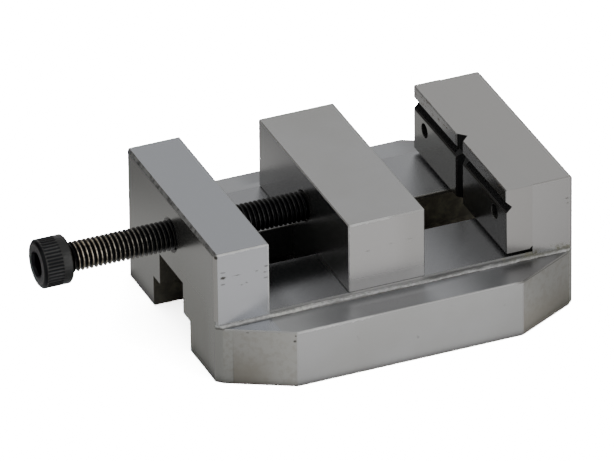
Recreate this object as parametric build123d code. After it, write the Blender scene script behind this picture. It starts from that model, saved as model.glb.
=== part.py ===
from build123d import *
import os

# Precision machine vise. Millimetres. +X runs along the spindle to the fixed jaw, +Y to the rear, +Z up.
# The pieces are modelled with x = 0 on the end block's outer face and z = 0 on the underside.
# As they are written they move along X to the part's origin, the bottom centre of its box.

# Body: ledges, bed, end block and fixed block, ground from one piece
body_length = 100.0
body_width = 60.0            # across the blocks and the bed
base_width = 80.0            # across the two ledges
body_height = 38.0           # underside to the tops of the blocks
bed_height = 18.0            # sliding surface
ledge_height = 16.3          # clamping ledges on both sides
ledge_taper = 18.5           # length of each cut-off ledge corner
ledge_root_radius = 0.8      # left by the wheel where ledge and bed meet
end_block_length = 15.0
fixed_block_length = 11.5
block_bevel = 0.8            # on the upright end corners, top to bottom, and the blocks' top edges
edge_bevel = 0.3             # on the other ground edges

# Guide: a slot through the bed over a wider channel, an inverted T from the end
slot_width = 16.0
channel_width = 25.0
channel_height = 9.0

# Moving jaw
rest_gap = 22.1              # from the end block, as photographed
jaw_thickness = 21.2
slide_clearance = 0.05       # under the jaw and beside its tongue

# Keeper plate that holds the moving jaw down
keeper_thickness = 8.0
keeper_side_gap = 0.5
keeper_clearance = 0.1       # under the bed's rails
keeper_screw_spacing = 11.0
keeper_hole_extra = 1.5      # tapped depth past the screw's end

# Spindle: M8 socket head screw with a turned end that the jaw holds captive
spindle_above_bed = 10.0
spindle_length = 80.0        # under the head to the tip
thread_size = 8.0
thread_pitch = 1.25
thread_clearance = 0.05      # round every thread in its hole
head_diameter = 13.0
head_height = 8.0
head_round = 1.2             # on the front rim
head_bevel = 0.4             # on the rear rim
hex_size = 6.0               # across flats
hex_depth = 4.6
journal_diameter = 6.5
journal_length = 10.0
journal_clearance = 0.05
neck_diameter = 4.5
neck_width = 2.3
neck_from_tip = 5.0
seat_depth = 14.0            # of the spindle's seat in the jaw
mouth_depth = 4.5            # of the wider mouth that takes the thread's end
mouth_clearance = 0.3
thrust_clearance = 0.1

# Retaining pins, one each side of the spindle's neck
pin_diameter = 2.0
pin_length = 22.0
pin_clearance = 0.1          # to the neck
pin_hole_extra = 0.5

# Prismatic jaw plate on the fixed block
plate_thickness = 7.5
plate_lift = 1.1             # clear of the bed
plate_bevel = 0.8            # on the lower rear edge
groove_depth = 1.75          # horizontal V groove, 90 degrees
groove_from_top = 5.2
upright_groove_depth = 2.35  # vertical V groove, 90 degrees
plate_hole_spacing = 45.4
plate_hole_from_top = 10.0

# Screws for the plate and the keeper
screw_size = 4.0
screw_length = 12.0
screw_head_diameter = 7.0
screw_head_height = 4.0
screw_hex_size = 3.0
screw_hex_depth = 2.0
screw_hole_diameter = 4.5
screw_head_clearance = 0.25
screw_head_recess = 0.4
screw_bevel = 0.3

# Dowels that place the plate
dowel_diameter = 3.0
dowel_length = 10.0
dowel_depth_in_plate = 5.0
dowel_spacing = 24.0
dowel_hole_extra = 0.3

# Shared by every thread and every cut
thread_depth_share = 0.6134  # of the pitch, crest to root of a metric screw's thread
overcut = 1.0                # how far a cutting shape reaches past the face that it opens

# Places along X
jaw_back = end_block_length + rest_gap
jaw_front = jaw_back + jaw_thickness
jaw_middle = (jaw_back + jaw_front) / 2
fixed_block_face = body_length - fixed_block_length
plate_face = fixed_block_face - plate_thickness
seat_end = jaw_back + seat_depth
spindle_tip = seat_end - thrust_clearance
head_underside = spindle_tip - spindle_length
head_front = head_underside - head_height
journal_start = spindle_tip - journal_length
neck_middle = spindle_tip - neck_from_tip
origin_x = (head_front + body_length) / 2

# Heights
spindle_z = bed_height + spindle_above_bed
plate_hole_z = body_height - plate_hole_from_top
tongue_bottom = channel_height - keeper_clearance
keeper_bottom = tongue_bottom - keeper_thickness
screw_counterbore_depth = screw_head_height + screw_head_recess

# Half widths and radii
half_body = body_width / 2
half_base = base_width / 2
thread_depth = thread_depth_share * thread_pitch
pin_offset = (neck_diameter + pin_diameter) / 2 + pin_clearance


def block(x_low, x_high, y_low, y_high, z_low, z_high):
    """A box given by the places of its six faces."""
    middle = Pos((x_low + x_high) / 2, (y_low + y_high) / 2, (z_low + z_high) / 2)
    return middle * Box(x_high - x_low, y_high - y_low, z_high - z_low)


def rod_along_x(x_low, x_high, y, z, diameter):
    """A round bar along X."""
    return Pos((x_low + x_high) / 2, y, z) * Rot(0, 90, 0) * Cylinder(diameter / 2, x_high - x_low)


def rod_along_z(x, y, z_low, z_high, diameter):
    """A round bar along Z."""
    return Pos(x, y, (z_low + z_high) / 2) * Cylinder(diameter / 2, z_high - z_low)


def bevelled(solid, length):
    """The solid with every edge bevelled."""
    return chamfer(solid.edges(), length)


def turned(points):
    """A solid turned about the X axis from (x, radius) points."""
    return revolve(make_face(Plane.XZ * Polyline(*points, close=True)), Axis.X)


def hexagon_along_x(x_low, x_high, across_flats):
    """A hexagonal bar along X with a corner up."""
    outline = Plane.YZ * RegularPolygon(across_flats / 2, 6, major_radius=False, rotation=30)
    return Pos(x_low, 0, 0) * extrude(outline, x_high - x_low)


def cap_screw(size, length, head_width, head_length, hex_across, hex_deep, bevel):
    """A socket head screw along X, its head's underside at x = 0 and its tip at x = length."""
    thread_radius = size / 2
    head_radius = head_width / 2
    screw = turned([
        (-head_length, 0),
        (-head_length, head_radius - bevel),
        (-head_length + bevel, head_radius),
        (0, head_radius),
        (0, thread_radius),
        (length - bevel, thread_radius),
        (length, thread_radius - bevel),
        (length, 0),
    ])
    return screw - hexagon_along_x(-head_length - overcut, -head_length + hex_deep, hex_across)


def small_screw():
    """The cap screw that holds the plate and the keeper."""
    return cap_screw(
        screw_size, screw_length, screw_head_diameter, screw_head_height,
        screw_hex_size, screw_hex_depth, screw_bevel,
    )


def across(spacing):
    """The two places, rear and front, of a pair that stands across the vise."""
    return {"rear": spacing / 2, "front": -spacing / 2}


def along(spacing):
    """The two places, back and nose, of a pair that stands along the moving jaw."""
    return {"back": jaw_middle - spacing / 2, "nose": jaw_middle + spacing / 2}


def plan_outline():
    """The base's outline from above, with its cut-off corners."""
    return make_face(Polyline(
        (0, -half_body),
        (ledge_taper, -half_base),
        (body_length - ledge_taper, -half_base),
        (body_length, -half_body),
        (body_length, half_body),
        (body_length - ledge_taper, half_base),
        (ledge_taper, half_base),
        (0, half_body),
        close=True,
    ))


def ledges():
    """The base up to its ledges, with bevelled rims, and the radius left where the ledges meet the bed."""
    solid = bevelled(extrude(plan_outline(), ledge_height), edge_bevel)
    radius_top = ledge_height + ledge_root_radius
    radius_foot = half_body + ledge_root_radius
    root = make_face([
        Line((half_body, ledge_height - edge_bevel), (radius_foot, ledge_height - edge_bevel)),
        Line((radius_foot, ledge_height - edge_bevel), (radius_foot, ledge_height)),
        RadiusArc((radius_foot, ledge_height), (half_body, radius_top), -ledge_root_radius),
        Line((half_body, radius_top), (half_body, ledge_height - edge_bevel)),
    ])
    bar = extrude(Plane.YZ * root, body_length) & extrude(plan_outline(), body_height)
    return solid + bar + mirror(bar, Plane.XZ)


def bevelled_blocks():
    """The middle of the body up to the blocks' tops, with the pocket between its two blocks."""
    solid = block(0, body_length, -half_body, half_body, 0, body_height)
    solid = chamfer(solid.faces().sort_by(Axis.Z)[-1].edges().filter_by(Axis.Y), block_bevel)
    long_edges = solid.faces().sort_by(Axis.Z)[-1].edges().filter_by(Axis.X)
    solid = chamfer(long_edges, edge_bevel)
    pocket = make_face(Plane.XZ * Polyline(
        (end_block_length, bed_height),
        (end_block_length, body_height - edge_bevel),
        (end_block_length - edge_bevel, body_height),
        (end_block_length - edge_bevel, body_height + overcut),
        (fixed_block_face, body_height + overcut),
        (fixed_block_face, bed_height),
        close=True,
    ))
    return solid - extrude(pocket, base_width, both=True)


def corner_envelope():
    """The bar that the body stays within: bevelled end corners from top to bottom, and a bevelled foot."""
    bar = block(0, body_length, -half_base, half_base, 0, body_height)
    bar = chamfer(bar.edges().filter_by(Axis.Z), half_base - half_body + block_bevel)
    return chamfer(bar.faces().sort_by(Axis.Z)[0].edges(), edge_bevel)


def slot_section():
    """The inverted T of the guide: the slot over the wider channel."""
    half_slot = slot_width / 2
    half_channel = channel_width / 2
    right = Polyline(
        (0, -overcut),
        (half_channel, -overcut),
        (half_channel, channel_height),
        (half_slot, channel_height),
        (half_slot, bed_height),
        (0, bed_height),
        close=True,
    )
    half = make_face(right)
    return half + mirror(half, Plane.YZ)


def slot_lips():
    """The bevels along the slot's two lips, between the blocks."""
    half_slot = slot_width / 2
    lip = make_face(Plane.YZ * Polyline(
        (half_slot - edge_bevel, bed_height - edge_bevel),
        (half_slot, bed_height - edge_bevel),
        (half_slot + edge_bevel, bed_height),
        (half_slot - edge_bevel, bed_height),
        close=True,
    ))
    bar = Pos(end_block_length, 0, 0) * extrude(lip, fixed_block_face - end_block_length)
    return bar + mirror(bar, Plane.XZ)


def bed_rims():
    """The bevels along the bed's two outer edges, between the blocks."""
    rim = make_face(Plane.YZ * Polyline(
        (half_body - edge_bevel, bed_height),
        (half_body + edge_bevel, bed_height - 2 * edge_bevel),
        (half_body + edge_bevel, bed_height),
        close=True,
    ))
    bar = Pos(end_block_length, 0, 0) * extrude(rim, fixed_block_face - end_block_length)
    return bar + mirror(bar, Plane.XZ)


def vise_body():
    """The body: ledges and bed, end block with the spindle's hole, fixed block with the plate's holes."""
    solid = (ledges() + bevelled_blocks()) & corner_envelope()
    solid = solid - extrude(Plane.YZ * slot_section(), body_length) - slot_lips() - bed_rims()
    thread_hole = thread_size + 2 * thread_clearance
    solid = solid - rod_along_x(-overcut, end_block_length + overcut, 0, spindle_z, thread_hole)
    mouth = turned([
        (-overcut, 0),
        (-overcut, thread_hole / 2 + overcut + thread_depth),
        (thread_depth, thread_hole / 2),
        (thread_depth, 0),
    ])
    solid = solid - Pos(0, 0, spindle_z) * mouth
    inner_mouth = Pos(end_block_length, 0, spindle_z) * mirror(mouth, Plane.YZ)
    solid = solid - inner_mouth
    counterbore = screw_head_diameter + 2 * screw_head_clearance
    for y in across(plate_hole_spacing).values():
        solid = solid - rod_along_x(
            fixed_block_face - overcut, body_length + overcut, y, plate_hole_z, screw_hole_diameter
        )
        solid = solid - rod_along_x(
            body_length - screw_counterbore_depth, body_length + overcut, y, plate_hole_z, counterbore
        )
    dowel_hole_end = fixed_block_face + dowel_length - dowel_depth_in_plate + dowel_hole_extra
    for y in across(dowel_spacing).values():
        solid = solid - rod_along_x(fixed_block_face - overcut, dowel_hole_end, y, plate_hole_z, dowel_diameter)
    return solid


def jaw_plate():
    """The hardened plate: crossing 90 degree V grooves in its face, tapped holes and dowel holes."""
    plate_bottom = bed_height + plate_lift
    solid = block(plate_face, fixed_block_face, -half_body, half_body, plate_bottom, body_height)
    rear = solid.faces().sort_by(Axis.X)[-1].edges()
    lower_rear = rear.sort_by(Axis.Z)[0]
    solid = chamfer(lower_rear, plate_bevel)
    face_edges = solid.faces().sort_by(Axis.X)[0].edges()
    solid = chamfer(face_edges, edge_bevel)
    groove_z = body_height - groove_from_top
    level = make_face(Plane.XZ * Polyline(
        (plate_face - overcut, groove_z + groove_depth + overcut),
        (plate_face + groove_depth, groove_z),
        (plate_face - overcut, groove_z - groove_depth - overcut),
        close=True,
    ))
    solid = solid - extrude(level, base_width, both=True)
    upright = make_face(Polyline(
        (plate_face - overcut, upright_groove_depth + overcut),
        (plate_face + upright_groove_depth, 0),
        (plate_face - overcut, -upright_groove_depth - overcut),
        close=True,
    ))
    solid = solid - extrude(upright, body_height + overcut)
    tapped = screw_size + 2 * thread_clearance
    for y in across(plate_hole_spacing).values():
        solid = solid - rod_along_x(plate_face - overcut, fixed_block_face + overcut, y, plate_hole_z, tapped)
    dowel_start = fixed_block_face - dowel_depth_in_plate
    for y in across(dowel_spacing).values():
        solid = solid - rod_along_x(dowel_start, fixed_block_face + overcut, y, plate_hole_z, dowel_diameter)
    return solid


def moving_jaw():
    """The moving jaw: block and tongue in one, with the spindle's seat, pin holes and tapped holes."""
    upper = bevelled(
        block(jaw_back, jaw_front, -half_body, half_body, bed_height + slide_clearance, body_height),
        edge_bevel,
    )
    half_tongue = slot_width / 2 - slide_clearance
    tongue = block(jaw_back, jaw_front, -half_tongue, half_tongue, tongue_bottom, bed_height + overcut)
    solid = upper + tongue
    mouth_diameter = thread_size + 2 * mouth_clearance
    seat_diameter = journal_diameter + 2 * journal_clearance
    solid = solid - rod_along_x(jaw_back - overcut, jaw_back + mouth_depth, 0, spindle_z, mouth_diameter)
    solid = solid - rod_along_x(jaw_back - overcut, seat_end, 0, spindle_z, seat_diameter)
    pin_hole_top = tongue_bottom + pin_length + 2 * pin_hole_extra
    for y in across(2 * pin_offset).values():
        solid = solid - rod_along_z(neck_middle, y, tongue_bottom - overcut, pin_hole_top, pin_diameter)
    tapped = screw_size + 2 * thread_clearance
    tapped_top = keeper_bottom + screw_counterbore_depth + screw_length + keeper_hole_extra
    for x in along(keeper_screw_spacing).values():
        solid = solid - rod_along_z(x, 0, tongue_bottom - overcut, tapped_top, tapped)
    return solid


def keeper_plate():
    """The plate in the channel, under the bed's rails, with counterbores from below."""
    half_keeper = channel_width / 2 - keeper_side_gap
    solid = bevelled(
        block(jaw_back, jaw_front, -half_keeper, half_keeper, keeper_bottom, tongue_bottom), edge_bevel
    )
    counterbore = screw_head_diameter + 2 * screw_head_clearance
    for x in along(keeper_screw_spacing).values():
        solid = solid - rod_along_z(
            x, 0, keeper_bottom - overcut, tongue_bottom + overcut, screw_hole_diameter
        )
        solid = solid - rod_along_z(
            x, 0, keeper_bottom - overcut, keeper_bottom + screw_counterbore_depth, counterbore
        )
    return solid


def spindle():
    """The spindle: rounded socket head, threaded length as a plain bar, turned end with its neck."""
    thread_radius = thread_size / 2
    head_radius = head_diameter / 2
    journal_radius = journal_diameter / 2
    neck_radius = neck_diameter / 2
    neck_start = neck_middle - neck_width / 2
    neck_end = neck_middle + neck_width / 2
    core_radius = thread_radius - thread_depth
    solid = turned([
        (head_front, 0),
        (head_front, head_radius),
        (head_underside - head_bevel, head_radius),
        (head_underside, head_radius - head_bevel),
        (head_underside, core_radius),
        (head_underside + thread_pitch, core_radius),
        (head_underside + thread_pitch + thread_depth, thread_radius),
        (journal_start - thread_depth, thread_radius),
        (journal_start, min(core_radius, journal_radius)),
        (journal_start, journal_radius),
        (neck_start, journal_radius),
        (neck_start, neck_radius),
        (neck_end, neck_radius),
        (neck_end, journal_radius),
        (spindle_tip - edge_bevel, journal_radius),
        (spindle_tip, journal_radius - edge_bevel),
        (spindle_tip, 0),
    ])
    front_rim = solid.edges().filter_by(GeomType.CIRCLE).sort_by(Axis.X)[0]
    solid = fillet(front_rim, head_round)
    solid = solid - hexagon_along_x(head_front - overcut, head_front + hex_depth, hex_size)
    return Pos(0, 0, spindle_z) * solid


def pieces():
    """Every piece by its name, in place."""
    made = {
        "vise_body": vise_body(),
        "jaw_plate": jaw_plate(),
        "moving_jaw": moving_jaw(),
        "keeper_plate": keeper_plate(),
        "spindle": spindle(),
    }
    screw_seat_x = body_length - screw_counterbore_depth
    for side, y in across(plate_hole_spacing).items():
        made[f"plate_screw_{side}"] = Pos(screw_seat_x, y, plate_hole_z) * Rot(0, 0, 180) * small_screw()
    dowel_start = fixed_block_face - dowel_depth_in_plate
    for side, y in across(dowel_spacing).items():
        dowel = rod_along_x(dowel_start, dowel_start + dowel_length, y, plate_hole_z, dowel_diameter)
        made[f"plate_dowel_{side}"] = dowel
    screw_seat_z = keeper_bottom + screw_counterbore_depth
    for side, x in along(keeper_screw_spacing).items():
        made[f"keeper_screw_{side}"] = Pos(x, 0, screw_seat_z) * Rot(0, -90, 0) * small_screw()
    pin_bottom = tongue_bottom + pin_hole_extra
    for side, y in across(2 * pin_offset).items():
        pin = rod_along_z(neck_middle, y, pin_bottom, pin_bottom + pin_length, pin_diameter)
        made[f"spindle_pin_{side}"] = pin
    return made


os.makedirs("parts", exist_ok=True)
for name, solid in pieces().items():
    export_step(Pos(-origin_x, 0, 0) * solid, f"parts/{name}.step")
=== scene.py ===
import logging
import math
from dataclasses import dataclass, fields
from enum import Enum
from functools import cached_property, reduce
from typing import Protocol, Sequence

import bmesh
import bpy
import numpy as np
from mathutils import Matrix, Quaternion, Vector


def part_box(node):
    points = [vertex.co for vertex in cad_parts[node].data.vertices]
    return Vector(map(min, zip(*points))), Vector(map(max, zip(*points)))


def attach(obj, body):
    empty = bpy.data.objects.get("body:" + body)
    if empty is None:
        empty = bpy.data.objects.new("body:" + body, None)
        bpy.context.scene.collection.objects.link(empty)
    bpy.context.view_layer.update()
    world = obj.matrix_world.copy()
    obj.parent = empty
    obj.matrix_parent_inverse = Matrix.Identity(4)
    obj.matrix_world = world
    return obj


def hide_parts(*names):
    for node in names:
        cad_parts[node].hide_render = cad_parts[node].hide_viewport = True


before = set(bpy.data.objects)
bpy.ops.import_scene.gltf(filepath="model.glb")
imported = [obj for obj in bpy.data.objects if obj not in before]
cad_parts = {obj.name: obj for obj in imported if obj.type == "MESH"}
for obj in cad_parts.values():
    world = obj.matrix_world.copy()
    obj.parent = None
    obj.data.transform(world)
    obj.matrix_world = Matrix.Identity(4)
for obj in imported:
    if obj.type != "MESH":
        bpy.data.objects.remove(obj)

# Looks of the precision machine vise: ground steel blocks, a black cap screw as the spindle, and the studio.
# Metres throughout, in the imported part's frame: +X along the spindle, +Y to the rear, +Z up.
# The tables of finishes give their places in millimetres.

MM = 0.001
LOG = logging.getLogger("vise")
# A metric thread's depth over its pitch, and the play within which two places are the same
THREAD_DEPTH = 0.6134
SLACK = 0.01 * MM
# How deep the finest lines and pits of a finish are
LINE_DEPTH = 0.02 * MM

Colour = tuple[float, float, float]
Point = tuple[float, float, float]
Limits = tuple[float, ...]
Socket = bpy.types.NodeSocket


class Slot(Enum):
    """The record's material slots."""

    BODY = "ground_body"
    JAW = "ground_jaw"
    PLATE = "hardened_plate"
    KEEPER = "keeper_steel"
    SPINDLE = "black_spindle"
    SCREW = "black_screw"
    PIN = "bright_pin"


class Body(Enum):
    """The bodies that pieces ride on."""

    BASE = "base"
    JAW = "moving_jaw"
    SPINDLE = "spindle"


class Axis(Enum):
    """A coordinate axis, by its letter."""

    X = "x"
    Y = "y"
    Z = "z"


class Graph:
    """A node tree that is being wired, for shaders and geometry alike."""

    def __init__(self, tree: bpy.types.NodeTree) -> None:
        """Starts wiring a tree, emptied here."""
        self.tree = tree
        tree.nodes.clear()

    def add(self, kind: str, fed: dict | None = None, **settings: object) -> bpy.types.Node:
        """Adds one node.

        Args:
            kind: The node's type name.
            fed: Sockets or plain values for its inputs, by name or number.
            settings: Properties to set on it.

        Returns:
            The new node.
        """
        node = self.tree.nodes.new(kind)
        for name, value in settings.items():
            setattr(node, name, value)
        for place, value in (fed or {}).items():
            self.feed(node.inputs[place], value)
        return node

    def feed(self, target: Socket, value: object) -> None:
        """Links a socket into an input, or sets the input's own value.

        Args:
            target: The input socket.
            value: An output socket or a plain value.
        """
        if isinstance(value, Socket):
            self.tree.links.new(value, target)
        else:
            target.default_value = value

    def math(self, operation: str, *values: object) -> Socket:
        """A Math node's result."""
        return self.add("ShaderNodeMath", dict(enumerate(values)), operation=operation).outputs[0]

    def product(self, *values: object) -> Socket:
        """The values multiplied into one."""
        return reduce(lambda result, value: self.math("MULTIPLY", result, value), values)

    def vector(self, operation: str, *values: object) -> bpy.types.Node:
        """A Vector Math node, whose first output is the vector and second the number."""
        return self.add("ShaderNodeVectorMath", dict(enumerate(values)), operation=operation)

    def parts(self, point: object) -> bpy.types.NodeOutputs:
        """A vector's three numbers."""
        return self.add("ShaderNodeSeparateXYZ", {0: point}).outputs

    def stretched(self, point: object, scale: Sequence[float]) -> Socket:
        """Coordinates scaled by axis."""
        return self.vector("MULTIPLY", point, tuple(scale)).outputs[0]

    def ramp(self, value: object, low: object, high: object, kind: str = "SMOOTHSTEP") -> Socket:
        """Maps a value from low..high to 0..1, clamped and eased."""
        fed = {"Value": value, "From Min": low, "From Max": high}
        return self.add("ShaderNodeMapRange", fed, interpolation_type=kind, clamp=True).outputs["Result"]

    def fade(self, value: object, limits: Limits) -> Socket:
        """Masks by a value.

        Args:
            value: The socket to test.
            limits: Where the mask is 0 and where it is 1, or for a band its two limits and half the width
                over which each fades.

        Returns:
            The mask.
        """
        if len(limits) == 2:
            return self.ramp(value, *limits)
        low, high, soft = limits
        rising = self.ramp(value, low - soft, low + soft)
        return self.product(rising, self.ramp(value, high + soft, high - soft))

    def blend(self, mask: object, low: object, high: object) -> Socket:
        """Mixes two colours, where a mask of 0 gives the first."""
        return self.add("ShaderNodeMix", {0: mask, 6: low, 7: high}, data_type="RGBA").outputs[2]

    def between(self, mask: object, low: object, high: object) -> Socket:
        """Mixes two numbers, where a mask of 0 gives the first."""
        return self.add("ShaderNodeMix", {0: mask, 2: low, 3: high}, data_type="FLOAT").outputs[0]

    def noise(self, point: object, scale: object, detail: float = 2.0, rough: float = 0.5) -> Socket:
        """A noise's value, by its features per metre, its octaves and the share of each finer one."""
        fed = {"Vector": point, "Scale": scale, "Detail": detail, "Roughness": rough}
        return self.add("ShaderNodeTexNoise", fed).outputs["Fac"]

    def effect(self, tree: bpy.types.NodeTree, fed: dict) -> bpy.types.NodeOutputs:
        """Places a shared effect with its own values, and gives its outputs."""
        return self.add("ShaderNodeGroup", fed, node_tree=tree).outputs


class EffectGraph(Graph):
    """A shader node group that is being wired, with number inputs and outputs."""

    def __init__(self, name: str, numbers: dict[str, float]) -> None:
        """Starts the group.

        Args:
            name: The group's name.
            numbers: Its inputs with their first values.
        """
        super().__init__(bpy.data.node_groups.new(name, "ShaderNodeTree"))
        for label, value in numbers.items():
            socket = self.tree.interface.new_socket(label, in_out="INPUT", socket_type="NodeSocketFloat")
            socket.default_value = value
        self.given = self.add("NodeGroupInput").outputs
        self.coords = self.add("ShaderNodeTexCoord").outputs

    def close(self, results: dict[str, Socket]) -> bpy.types.NodeTree:
        """Names the outputs and feeds them.

        Args:
            results: What comes out, by name.

        Returns:
            The finished group.
        """
        for label in results:
            self.tree.interface.new_socket(label, in_out="OUTPUT", socket_type="NodeSocketFloat")
        self.add("NodeGroupOutput", results)
        return self.tree


class ShaderEffects:
    """The effects that several finishes share, each a node group that is built once."""

    @cached_property
    def grinding(self) -> bpy.types.NodeTree:
        """Fine parallel lines left by the grinding wheel.

        Returns:
            A group with outputs Height and Streaks. Lines run along X, and along Y on faces that face X.
        """
        graph = EffectGraph("grinding_lines", {"Scale": 3000.0, "Coarse Share": 0.12})
        facing = graph.parts(graph.coords["Normal"])
        end_face = graph.ramp(graph.math("ABSOLUTE", facing["X"]), 0.72, 0.78)
        stretches = ((0.02, 1.0, 1.0), (1.0, 0.02, 1.0))
        runs = [graph.stretched(graph.coords["Object"], stretch) for stretch in stretches]
        scale = graph.given["Scale"]
        coarse = graph.math("MULTIPLY", scale, graph.given["Coarse Share"])
        return graph.close({
            "Height": graph.between(end_face, *(graph.noise(run, scale, 3.0, 0.6) for run in runs)),
            "Streaks": graph.between(end_face, *(graph.noise(run, coarse, 2.0, 0.55) for run in runs)),
        })

    @cached_property
    def handling(self) -> bpy.types.NodeTree:
        """Soft stains from oily smears and fingers.

        Returns:
            A group with outputs Broad, for slow changes of tone, and Spots, for small dark flecks.
        """
        graph = EffectGraph("handling_marks", {
            "Broad Scale": 45.0, "Spot Scale": 420.0, "Spot Limit": 0.7, "Spot Fade": 0.08,
        })
        broad = graph.noise(graph.coords["Object"], graph.given["Broad Scale"], 3.0, 0.55)
        spots = graph.noise(graph.coords["Object"], graph.given["Spot Scale"], 2.0, 0.7)
        limit = graph.given["Spot Limit"]
        return graph.close({
            "Broad": graph.ramp(broad, 0.3, 0.7),
            "Spots": graph.ramp(spots, limit, graph.math("ADD", limit, graph.given["Spot Fade"])),
        })

    @cached_property
    def broken(self) -> bpy.types.NodeTree:
        """Slanted faces and rounded edges, which face along no axis.

        Returns:
            A group whose Mask rises as the surface turns from Square to Slanted, both of them shares of
            facing an axis.
        """
        graph = EffectGraph("broken_edges", {"Square": 0.86, "Slanted": 0.76})
        turns = [graph.math("ABSOLUTE", turn) for turn in graph.parts(graph.coords["Normal"])]
        widest = reduce(lambda most, turn: graph.math("MAXIMUM", most, turn), turns)
        return graph.close({"Mask": graph.ramp(widest, graph.given["Square"], graph.given["Slanted"])})

    @cached_property
    def highlit(self) -> bpy.types.NodeTree:
        """A ragged, patchy band beside an edge, for a painted highlight that looks like handling wear.

        Returns:
            A group with output Mask. Distance, Reach and Ragged are in metres, the scales in features per
            metre.
        """
        graph = EffectGraph("highlit_edge", {
            "Distance": 0.0, "Reach": 0.5 * MM, "Ragged": 1.0 * MM,
            "Ragged Scale": 700.0, "Patch Scale": 260.0, "Least": 0.4,
        })
        point, given = graph.coords["Object"], graph.given
        wander = graph.math("SUBTRACT", graph.noise(point, given["Ragged Scale"], 3.0, 0.7), 0.5)
        shifted = graph.math("MULTIPLY_ADD", wander, given["Ragged"], given["Distance"])
        band = graph.ramp(shifted, given["Reach"], graph.math("MULTIPLY", given["Reach"], 0.5))
        patches = graph.ramp(graph.noise(point, given["Patch Scale"], 2.0, 0.5), 0.35, 0.6)
        return graph.close({"Mask": graph.product(band, graph.between(patches, given["Least"], 1.0))})

    @cached_property
    def worn(self) -> bpy.types.NodeTree:
        """Black oxide worn through on a screw's thread crests and knurl.

        Returns:
            A group that measures from the screw's axis, in metres. Thread and Head are masks, Along runs from
            0 at the head to 1 at Worn Length, Patches is a slow noise, and Radius is the distance from the
            axis.
        """
        graph = EffectGraph("worn_oxide", {
            "Axis Y": 0.0, "Axis Z": 0.0, "Worn From": 1.0, "Worn To": 2.0,
            "Head End": 0.0, "Head Radius": 1.0, "Worn Length": 10.0 * MM,
            "Patch Scale": 900.0, "Ridge": 0.2 * MM, "Least": 0.35,
        })
        point, given = graph.coords["Object"], graph.given
        at = graph.parts(point)
        aside = graph.math("SUBTRACT", at["Y"], given["Axis Y"])
        above = graph.math("SUBTRACT", at["Z"], given["Axis Z"])
        square = graph.math("MULTIPLY_ADD", above, above, graph.math("MULTIPLY", aside, aside))
        radius = graph.math("SQRT", square)
        past = graph.math("SUBTRACT", at["X"], given["Head End"])
        patches = graph.ramp(graph.noise(point, given["Patch Scale"], 3.0, 0.65), 0.38, 0.6)
        crest = graph.ramp(radius, given["Worn From"], given["Worn To"])
        rim = given["Head Radius"]
        ridge = graph.ramp(radius, graph.math("SUBTRACT", rim, given["Ridge"]), rim)
        thread = graph.ramp(past, 0.8 * MM, 3.0 * MM)
        return graph.close({
            "Thread": graph.product(crest, thread, graph.between(patches, given["Least"], 1.0)),
            "Head": graph.product(ridge, graph.ramp(past, 0.1 * MM, -0.1 * MM)),
            "Along": graph.ramp(past, 0.0, given["Worn Length"]),
            "Patches": patches,
            "Radius": radius,
        })


EFFECTS = ShaderEffects()


def new_material(name: str) -> tuple[bpy.types.Material, Graph, bpy.types.Node]:
    """Starts a material.

    Args:
        name: The material's name.

    Returns:
        The material, its graph and its Principled node, already linked to the output.
    """
    material = bpy.data.materials.new(name)
    material.use_nodes = True
    graph = Graph(material.node_tree)
    shader = graph.add("ShaderNodeBsdfPrincipled")
    graph.add("ShaderNodeOutputMaterial", {"Surface": shader.outputs[0]})
    return material, graph, shader


class Spot:
    """Where the shader is on a piece, by named measures, and the masks that are made of them."""

    def __init__(self, graph: Graph) -> None:
        """Reads the place in metres, and which way the surface faces.

        Args:
            graph: The material's graph.
        """
        self.graph = graph
        coords = graph.add("ShaderNodeTexCoord").outputs
        self.point = coords["Object"]
        self.measures: dict[str, Socket] = {}
        for letter, at, turn in zip("xyz", graph.parts(self.point), graph.parts(coords["Normal"])):
            self.measures[letter] = at
            self.measures[f"normal_{letter}"] = turn
            self.measures[f"side_{letter}"] = graph.math("ABSOLUTE", turn)
        self.measures["across"] = graph.math("ABSOLUTE", self.measures["y"])
        self.made: dict[Part, Socket] = {}

    def mask(self, part: "Part") -> Socket:
        """Gives a part's mask, built once in each material.

        Args:
            part: What is masked.

        Returns:
            The mask.
        """
        if part not in self.made:
            self.made[part] = part.mask(self.graph, self)
        return self.made[part]


class Part(Protocol):
    """Anything that masks some of a piece's surface."""

    def mask(self, graph: Graph, spot: Spot) -> Socket:
        """Builds the mask."""


@dataclass(frozen=True)
class Place:
    """Where a coat lies, by the spot's measures, in millimetres or as shares of facing an axis.

    Two numbers are where the mask is 0 and where it is 1. Three are a band: its two limits and half the width
    over which each fades. Across is the distance from the middle plane, height is z with a wandering noise,
    sunk is height where the bright bead lies lower, and bore is the distance from the spindle's axis.
    """

    x: Limits = ()
    y: Limits = ()
    z: Limits = ()
    across: Limits = ()
    height: Limits = ()
    sunk: Limits = ()
    bore: Limits = ()
    normal_x: Limits = ()
    normal_y: Limits = ()
    normal_z: Limits = ()
    side_x: Limits = ()
    side_z: Limits = ()
    least: float = 0.0

    def mask(self, graph: Graph, spot: Spot) -> Socket:
        """Multiplies the measures' masks.

        Args:
            graph: The material's graph.
            spot: Where the shader is.

        Returns:
            The mask, from least to 1.
        """
        masks = []
        for item in fields(self)[:-1]:
            limits = getattr(self, item.name)
            unit = 1.0 if item.name.startswith(("normal", "side")) else MM
            if limits:
                masks.append(graph.fade(spot.measures[item.name], tuple(limit * unit for limit in limits)))
        whole = graph.product(*masks)
        return graph.between(whole, self.least, 1.0) if self.least else whole


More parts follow.
